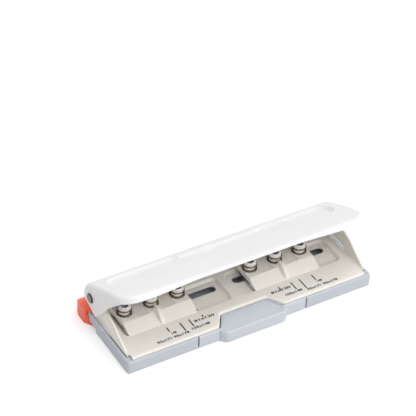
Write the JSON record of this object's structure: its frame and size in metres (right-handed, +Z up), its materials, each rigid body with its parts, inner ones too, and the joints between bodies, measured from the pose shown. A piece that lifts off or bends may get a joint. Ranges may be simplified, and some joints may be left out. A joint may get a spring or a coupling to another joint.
{
  "type": "six-hole punch",
  "caption": "Desk hole punch for planner pages: sprung punch pins on sliding carriages, pressed by a wide hinged handle, over a chip tray with a thumb latch.",
  "frame": {"origin": "middle of the base, on the surface it stands on", "axes": "+X along the base to the right when the thumb tab faces the user, +Y to the rear, +Z up"},
  "size_m": [0.1833, 0.0706, 0.0533],
  "materials": {
    "tray_plastic": "light blue-grey moulded plastic",
    "deck_paint": "cream powder paint",
    "block_paint": "cream paint on a cast block",
    "lid_paint": "off-white satin paint",
    "bar_steel": "plain steel",
    "die_steel": "plain steel",
    "rivet_steel": "turned steel",
    "pin_steel": "polished hard steel",
    "sleeve_plastic": "white moulded plastic",
    "spring_wire": "oiled spring wire",
    "orange_plastic": "orange moulded plastic"
  },
  "bodies": {
    "base": {"base_deck": "deck_paint", "chip_tray": "tray_plastic", "left_hinge_pin": "rivet_steel", "right_hinge_pin": "rivet_steel"},
    "handle": {"handle_cover": "lid_paint", "press_bar": "bar_steel"},
    "lock": {"lock_slide": "die_steel", "lock_knob": "orange_plastic"},
    "latch": {"tray_latch": "tray_plastic"},
    "guide": {"paper_guide": "orange_plastic", "guide_washer": "rivet_steel"},
    "left_carriage": {"left_die_plate": "die_steel", "left_punch_block": "block_paint", "left_keeper_plate": "die_steel", "left_slot_screws": "rivet_steel", "left_spring_1": "spring_wire", "left_spring_2": "spring_wire", "left_spring_3": "spring_wire"},
    "left_punch_1": {"left_pin_1": "pin_steel", "left_sleeve_1": "sleeve_plastic"},
    "left_punch_2": {"left_pin_2": "pin_steel", "left_sleeve_2": "sleeve_plastic"},
    "left_punch_3": {"left_pin_3": "pin_steel", "left_sleeve_3": "sleeve_plastic"},
    "right_carriage": {"right_die_plate": "die_steel", "right_punch_block": "block_paint", "right_keeper_plate": "die_steel", "right_slot_screws": "rivet_steel", "right_spring_1": "spring_wire", "right_spring_2": "spring_wire", "right_spring_3": "spring_wire"},
    "right_punch_1": {"right_pin_1": "pin_steel", "right_sleeve_1": "sleeve_plastic"},
    "right_punch_2": {"right_pin_2": "pin_steel", "right_sleeve_2": "sleeve_plastic"},
    "right_punch_3": {"right_pin_3": "pin_steel", "right_sleeve_3": "sleeve_plastic"}
  },
  "joints": [
    {"name": "handle_hinge", "type": "hinge", "parent": "base", "child": "handle", "pos_m": [0, 0.0201, 0.0233], "axis": [1, 0, 0], "range_deg": [0, 20], "stiffness_Nm_per_rad": 0.8, "springref_deg": -17.19},
    {"name": "lock_travel", "type": "slide", "parent": "handle", "child": "lock", "axis": [1, 0, 0], "range_m": [0, 0.0052]},
    {"name": "latch_flex", "type": "hinge", "parent": "base", "child": "latch", "pos_m": [0, -0.029, 0.0006], "axis": [1, 0, 0], "range_deg": [0, 5], "stiffness_Nm_per_rad": 0.4, "springref_deg": -5.73},
    {"name": "guide_travel", "type": "slide", "parent": "base", "child": "guide", "axis": [-1, 0, 0], "range_m": [0, 0.02]},
    {"name": "left_carriage_travel", "type": "slide", "parent": "base", "child": "left_carriage", "axis": [1, 0, 0], "range_m": [0, 0.0255]},
    {"name": "left_punch_1_travel", "type": "slide", "parent": "left_carriage", "child": "left_punch_1", "axis": [0, 0, -1], "range_m": [0, 0.0039], "deforming": ["left_spring_1"]},
    {"name": "left_punch_2_travel", "type": "slide", "parent": "left_carriage", "child": "left_punch_2", "axis": [0, 0, -1], "range_m": [0, 0.0039], "deforming": ["left_spring_2"]},
    {"name": "left_punch_3_travel", "type": "slide", "parent": "left_carriage", "child": "left_punch_3", "axis": [0, 0, -1], "range_m": [0, 0.0039], "deforming": ["left_spring_3"]},
    {"name": "right_carriage_travel", "type": "slide", "parent": "base", "child": "right_carriage", "axis": [1, 0, 0], "range_m": [-0.0095, 0.016]},
    {"name": "right_punch_1_travel", "type": "slide", "parent": "right_carriage", "child": "right_punch_1", "axis": [0, 0, -1], "range_m": [0, 0.0039], "deforming": ["right_spring_1"]},
    {"name": "right_punch_2_travel", "type": "slide", "parent": "right_carriage", "child": "right_punch_2", "axis": [0, 0, -1], "range_m": [0, 0.0039], "deforming": ["right_spring_2"]},
    {"name": "right_punch_3_travel", "type": "slide", "parent": "right_carriage", "child": "right_punch_3", "axis": [0, 0, -1], "range_m": [0, 0.0039], "deforming": ["right_spring_3"]}
  ],
  "couplings": [
    {"joint": "left_punch_1_travel", "follows": "handle_hinge", "m_per_rad": 0.011115},
    {"joint": "left_punch_2_travel", "follows": "handle_hinge", "m_per_rad": 0.011115},
    {"joint": "left_punch_3_travel", "follows": "handle_hinge", "m_per_rad": 0.011115},
    {"joint": "right_punch_1_travel", "follows": "handle_hinge", "m_per_rad": 0.011115},
    {"joint": "right_punch_2_travel", "follows": "handle_hinge", "m_per_rad": 0.011115},
    {"joint": "right_punch_3_travel", "follows": "handle_hinge", "m_per_rad": 0.011115}
  ]
}
